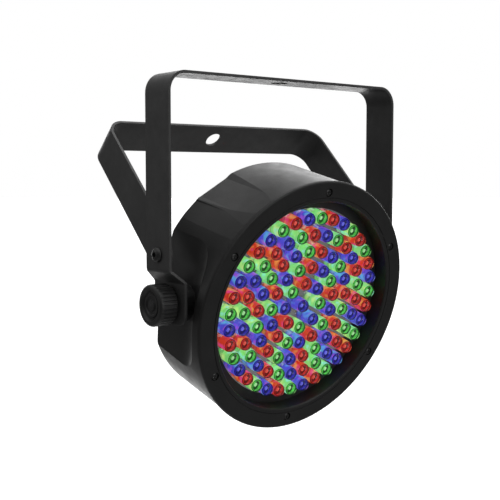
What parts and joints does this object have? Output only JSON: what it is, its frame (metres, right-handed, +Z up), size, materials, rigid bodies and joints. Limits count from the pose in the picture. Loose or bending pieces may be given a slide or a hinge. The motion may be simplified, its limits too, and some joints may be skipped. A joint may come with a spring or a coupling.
{
  "type": "par can light",
  "caption": "Slim round LED par light that tilts in a hanging yoke, with a folding rear bracket, clamp knobs, bezel, LED field and rear panel.",
  "frame": {"origin": "centre of the hanging hole, on the upper face of the yoke's top bar", "axes": "+Z up along the hanging hole, X along the tilt axis, the light faces -Y (tilted down by 14.75 degrees at rest)"},
  "size_m": [0.2294, 0.1488, 0.2572],
  "materials": {
    "bracket_steel": "black powder coat, fine texture",
    "fastener_steel": "blackened steel",
    "washer_nylon": "black nylon",
    "knob_plastic": "moulded black",
    "stud_steel": "zinc plated",
    "housing_plastic": "moulded black, satin",
    "bezel_plastic": "moulded black, satin",
    "gasket_rubber": "black",
    "friction_fibre": "fibre and rubber",
    "insert_brass": "plain",
    "led_plate_black": "satin black",
    "polished_foil": "polished",
    "circuit_board": "glass-fibre board with green solder mask",
    "led_red": "clear epoxy, lit red",
    "led_green": "clear epoxy, lit green",
    "led_blue": "clear epoxy, lit blue",
    "cover_steel": "black powder coat",
    "socket_plastic": "moulded black",
    "contact_metal": "tinned",
    "window_tint": "dark red tinted acrylic",
    "button_plastic": "moulded dark grey",
    "latch_plastic": "moulded",
    "display_grey": "dark potted display",
    "switch_plastic": "moulded",
    "bare_aluminium": "plain",
    "ferrite": "ferrite with wound copper",
    "capacitor_sleeve": "shrink sleeve",
    "terminal_plastic": "moulded green",
    "lead_insulation": "flexible insulation",
    "fuse_glass": "clear tube"
  },
  "bodies": {
    "yoke": {"hanging_yoke": "bracket_steel", "hinge_bolts": "fastener_steel", "hinge_washers": "washer_nylon", "knob_washers": "fastener_steel"},
    "bracket": {"rear_bracket": "bracket_steel"},
    "left_clamp": {"left_knob": "knob_plastic", "left_knob_stud": "stud_steel"},
    "right_clamp": {"right_knob": "knob_plastic", "right_knob_stud": "stud_steel"},
    "menu_key": {"menu_button": "button_plastic"},
    "up_key": {"up_button": "button_plastic"},
    "down_key": {"down_button": "button_plastic"},
    "enter_key": {"enter_button": "button_plastic"},
    "latch": {"data_out_latch": "latch_plastic"},
    "fuse_carrier": {"fuse_cap": "latch_plastic", "fuse": "fuse_glass"},
    "head": {"housing_shell": "housing_plastic", "pivot_inserts": "insert_brass", "friction_discs": "friction_fibre", "bezel_ring": "bezel_plastic", "bezel_screws": "fastener_steel", "bezel_gasket": "gasket_rubber", "led_plate": "led_plate_black", "led_reflector": "polished_foil", "led_board": "circuit_board", "red_leds": "led_red", "green_leds": "led_green", "blue_leds": "led_blue", "plate_spacers": "washer_nylon", "board_posts": "bare_aluminium", "rear_cover": "cover_steel", "rear_cover_screws": "fastener_steel", "socket_screws": "fastener_steel", "data_in_socket": "socket_plastic", "data_in_pins": "contact_metal", "data_out_socket": "socket_plastic", "data_out_insert": "socket_plastic", "power_outlet_insert": "socket_plastic", "power_inlet": "socket_plastic", "power_inlet_blades": "contact_metal", "power_outlet": "socket_plastic", "fuse_holder": "socket_plastic", "safety_loop": "stud_steel", "control_board": "circuit_board", "display_module": "display_grey", "display_window": "window_tint", "tact_switches": "switch_plastic", "microphone": "bare_aluminium", "cover_posts": "bare_aluminium", "power_board": "circuit_board", "power_posts": "bare_aluminium", "transformer": "ferrite", "capacitors": "capacitor_sleeve", "heat_sink": "bare_aluminium", "terminal_blocks": "terminal_plastic", "mains_leads": "lead_insulation", "led_leads": "lead_insulation"}
  },
  "joints": [
    {"name": "head_tilt", "type": "hinge", "parent": "yoke", "child": "head", "pos_m": [0, 0, -0.1573], "axis": [1, 0, 0], "range_deg": [-105, 165]},
    {"name": "bracket_swing", "type": "hinge", "parent": "yoke", "child": "bracket", "pos_m": [0, 0, -0.1232], "axis": [-1, 0, 0], "range_deg": [-119.8, 30.2]},
    {"name": "left_clamp_turn", "type": "hinge", "parent": "head", "child": "left_clamp", "pos_m": [-0.1147, 0, -0.1573], "axis": [-1, 0, 0], "range_deg": [0, 540]},
    {"name": "right_clamp_turn", "type": "hinge", "parent": "head", "child": "right_clamp", "pos_m": [0.1147, 0, -0.1573], "axis": [1, 0, 0], "range_deg": [0, 540]},
    {"name": "fuse_cap_turn", "type": "hinge", "parent": "head", "child": "fuse_carrier", "pos_m": [0, 0.03583, -0.17165], "axis": [0, 0.967, 0.2546], "range_deg": [0, 90]},
    {"name": "latch_push", "type": "slide", "parent": "head", "child": "latch", "axis": [0, 0.2546, -0.967], "range_m": [0, 0.0012], "stiffness_N_per_m": 600},
    {"name": "menu_press", "type": "slide", "parent": "head", "child": "menu_key", "axis": [0, -0.967, -0.2546], "range_m": [0, 0.0005], "stiffness_N_per_m": 900},
    {"name": "up_press", "type": "slide", "parent": "head", "child": "up_key", "axis": [0, -0.967, -0.2546], "range_m": [0, 0.0005], "stiffness_N_per_m": 900},
    {"name": "down_press", "type": "slide", "parent": "head", "child": "down_key", "axis": [0, -0.967, -0.2546], "range_m": [0, 0.0005], "stiffness_N_per_m": 900},
    {"name": "enter_press", "type": "slide", "parent": "head", "child": "enter_key", "axis": [0, -0.967, -0.2546], "range_m": [0, 0.0005], "stiffness_N_per_m": 900}
  ]
}
